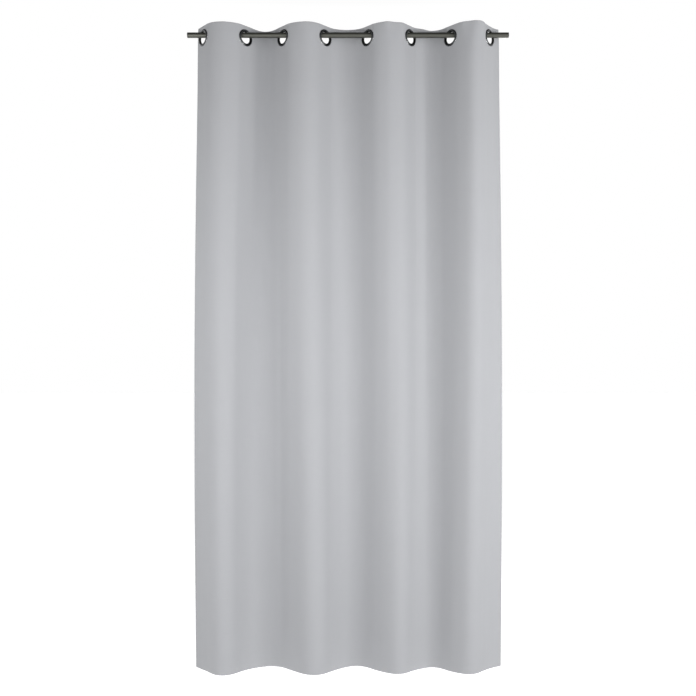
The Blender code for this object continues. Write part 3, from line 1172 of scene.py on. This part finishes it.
LIGHTS = (
    SoftLight("key", (2.8, -1.8, -1.1), (0.0, 0.0, -1.1), (1.4, 1.6), 41.0, 120.0),
    SoftLight("fill", (-2.0, -2.2, -0.8), (-0.1, 0.0, -0.85), (0.9, 0.9), 2.2, 50.0),
    SoftLight("low_fill", (-1.6, -2.2, -1.9), (0.0, 0.0, -1.6), (0.9, 0.9), 15.0, 120.0),
    SoftLight("back", (1.6, 3.6, -0.9), (0.0, 0.0, -1.2), (2.4, 2.0), 34.0, 100.0))


@dataclass
class Studio:
    """Pale paper floor, soft lights and the camera."""

    distance: float = 3.16
    eye: float = -1.273
    lens: float = 43.0
    lift: float = 0.0318
    floor_gap: float = 0.030
    sensor: float = 36.0
    sky: float = 0.68
    sky_fade: tuple[float, float] = (0.10, 0.45)
    ceiling: float = 0.08
    ceiling_fade: tuple[float, float] = (0.60, 0.40)
    paper: float = 40.0

    def build(self, bottom: float) -> None:
        """Set the stage round a panel whose hem is at a height."""
        self._floor(bottom - self.floor_gap)
        self._sky()
        for light in LIGHTS:
            light.build()
        self._camera()

    def _floor(self, level: float) -> None:
        """A wide sheet of paper."""
        bm = bmesh.new()
        bmesh.ops.create_grid(bm, x_segments=8, y_segments=8, size=self.paper)
        bmesh.ops.translate(bm, verts=bm.verts[:], vec=(0, 0, level))
        piece = finish_mesh(bm, "studio_floor", [StudioPaper().build()])

    def _sky(self) -> None:
        """White surroundings, duller behind the camera and dim overhead."""
        world = bpy.data.worlds.new("studio")
        world.use_nodes = True
        tree = world.node_tree
        aim = tree.nodes.new("ShaderNodeTexCoord")
        parts = tree.nodes.new("ShaderNodeSeparateXYZ")
        tree.links.new(aim.outputs["Generated"], parts.inputs[0])
        both = tree.nodes.new("ShaderNodeMath")
        both.operation = "MULTIPLY"
        for slot, axis, (low, high), dull in ((0, "Y", self.sky_fade, self.sky),
                                              (1, "Z", self.ceiling_fade, self.ceiling)):
            fade = tree.nodes.new("ShaderNodeMapRange")
            for key, value in {"From Min": low, "From Max": high, "To Min": dull}.items():
                fade.inputs[key].default_value = value
            tree.links.new(parts.outputs[axis], fade.inputs["Value"])
            tree.links.new(fade.outputs[0], both.inputs[slot])
        backdrop = tree.nodes["Background"]
        backdrop.inputs["Color"].default_value = grey(1.0)
        tree.links.new(both.outputs[0], backdrop.inputs["Strength"])
        bpy.context.scene.world = world

    def _camera(self) -> None:
        """A level camera in front of the panel."""
        lens = bpy.data.cameras.new("camera")
        lens.lens = self.lens
        lens.sensor_width = self.sensor
        lens.shift_y = self.lift
        stand = bpy.data.objects.new("camera", lens)
        stand.location = (0.0, -self.distance, self.eye)
        stand.rotation_euler = (pi / 2, 0.0, 0.0)
        bpy.context.scene.collection.objects.link(stand)
        bpy.context.scene.camera = stand
        bpy.context.scene.view_settings.view_transform = "Standard"


EYELET_ANGLES = (50, 46, 46, 45, 46, 46, 48, 49)    # cloth to rod, degrees


def hang_cloth(sizes: ClothSizes, eyelets: EyeletRow) -> Drape:
    """Work out how the panel hangs, from its eyelets to its hem.

    Args:
        sizes: The panel's sizes.
        eyelets: Where its eyelets are.

    Returns:
        The hung cloth.
    """
    low, high = (corner[2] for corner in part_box("face_cloth_1"))
    spacing = (sizes.width - sizes.left_margin - sizes.right_margin) / (len(EYELET_ANGLES) - 1)
    lengths = tuple(sizes.left_margin + index * spacing for index in range(len(EYELET_ANGLES)))
    upper = WaveShape(
        nodes=tuple(place.centre.x for place in eyelets.places), lengths=lengths,
        angles=EYELET_ANGLES,
        inner=((26, -4, -27), (40, -3, -42), (28, 10, -22), (24, 2, -22),
               (30, 4, -26), (38, 22, -36), (30, 22, -14)),
        pinches=(6, 5, 2, 0, 9, 24, 6), straight=0.022,
        width=sizes.width, left_edge=46, right_edge=22)
    lower = WaveShape(
        nodes=(-0.544, -0.393, -0.213, -0.052, 0.110, 0.252, 0.378, 0.518),
        lengths=(0.055, 0.246, 0.452, 0.646, 0.838, 1.003, 1.148, 1.314),
        angles=(42, 42, 40, 41, 39, 36, 44, 42),
        inner=((22, -3, -24), (30, 13, -24), (24, 6, -22), (24, 8, -20),
               (26, 10, -22), (30, 14, -20), (28, 14, -22)),
        pinches=(0, 4, 0, 4, 4, 10, 6),
        straight=0.010, width=sizes.width, left_edge=48, right_edge=24)
    shoulders = (Crease(lengths[4] + 0.080, high, 0.014, 0.030, 8.0),
                 Crease(lengths[4] + 0.112, high, 0.013, 0.030, -7.0),
                 Crease(lengths[4] + 0.142, high, 0.012, 0.030, 7.0),
                 Crease(lengths[6] + 0.054, high, 0.012, 0.030, 5.0),
                 Crease(lengths[6] + 0.086, high, 0.014, 0.030, -9.0),
                 Crease(lengths[6] + 0.134, high, 0.016, 0.030, 9.0))
    ripples = (Crease(lengths[2] - 0.030, -1.35, 0.012, 0.55, 4.0),
               Crease(lengths[2] - 0.008, -1.35, 0.012, 0.55, -4.0),
               Crease(lengths[1] + 0.070, -0.95, 0.010, 0.60, -3.0),
               Crease(lengths[5] + 0.100, -1.30, 0.014, 0.60, -2.5),
               Crease(lengths[3] + 0.080, -1.50, 0.014, 0.60, -2.0))
    puckers = (Crease(lengths[1] + 0.100, -0.090, 0.010, 0.055, 5.0),
               Crease(lengths[5] + 0.074, -0.075, 0.008, 0.045, -5.0),
               Crease(lengths[5] + 0.122, -0.100, 0.009, 0.060, 5.0),
               Crease(lengths[3] + 0.110, -0.110, 0.012, 0.070, 4.0))
    return Drape(upper=upper, lower=lower, top=high, bottom=low, header=sizes.header,
                 creases=shoulders + ripples + puckers)


def main() -> None:
    """Build the panel, its eyelets, its rod and the studio."""
    logging.basicConfig(level=logging.INFO, format="%(name)s: %(message)s")
    sizes = ClothSizes()
    eyelets = EyeletRow(EYELET_ANGLES)
    drape = hang_cloth(sizes, eyelets)
    Studio().build(drape.bottom)
    CurtainRod().build()
    # The second plating, fifteen times lighter, is a painted highlight on each eyelet's bead.
    plating = [Gunmetal("eyelet_gunmetal", 0.030, 0.20, 0.8).build(),
               Gunmetal("eyelet_rim_painted_highlight", 0.45, 0.18, 0.3, 0.0).build()]
    shape = Eyelet()
    for place in eyelets.places:
        for half in Half:
            shape.build(place, half, plating)
        log.info("eyelet %d at x %.3f", place.number, place.centre.x)
    ClothPanel(sizes, drape, eyelets).build()


if __name__ == "__main__":
    main()
